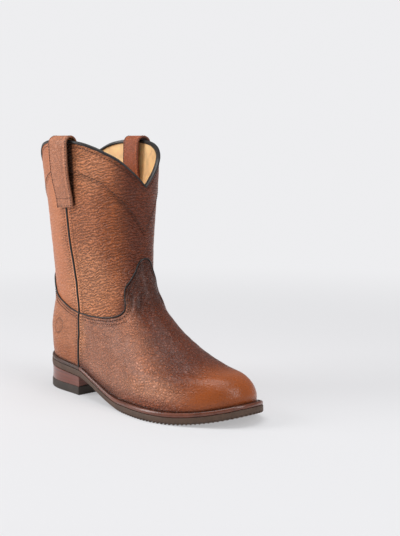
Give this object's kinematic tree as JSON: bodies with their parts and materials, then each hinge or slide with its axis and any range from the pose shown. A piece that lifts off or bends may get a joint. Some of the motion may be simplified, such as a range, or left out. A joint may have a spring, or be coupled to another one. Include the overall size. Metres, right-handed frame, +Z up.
{
  "type": "roper boot",
  "caption": "Right roper boot with a pull-on leather shaft, scalloped collar, looped pull straps, rounded toe, stitched welt and low stacked heel.",
  "frame": {"origin": "middle of the boot's box on the ground, at the level of the heel's underside and the flat of the tread", "axes": "+X from heel to toe, +Y to the inner side of the right foot, +Z up"},
  "size_m": [0.3042, 0.1272, 0.2862],
  "materials": {
    "shaft_leather": "tumbled brown leather, pebbled and wrinkled, glossy where it is stretched",
    "strap_leather": "satin brown leather",
    "dark_edging": "satin black binding and piping",
    "insole_leather": "plain tan leather",
    "welt_leather": "dark red-brown leather, waxed",
    "sole_rubber": "matt taupe rubber",
    "stacked_leather": "stained stacked leather, glossy",
    "lift_rubber": "matt dark rubber",
    "stitch_thread": "waxed brown thread"
  },
  "bodies": {
    "root": {"upper": "shaft_leather", "collar_binding": "dark_edging", "side_piping_outer": "dark_edging", "side_piping_inner": "dark_edging", "vamp_piping": "dark_edging", "counter_piping": "dark_edging", "pull_strap_outer": "strap_leather", "pull_strap_inner": "strap_leather", "insole": "insole_leather", "welt": "welt_leather", "heel_rand": "welt_leather", "outsole": "sole_rubber", "heel_stack": "stacked_leather", "heel_lift": "lift_rubber"}
  },
  "joints": []
}
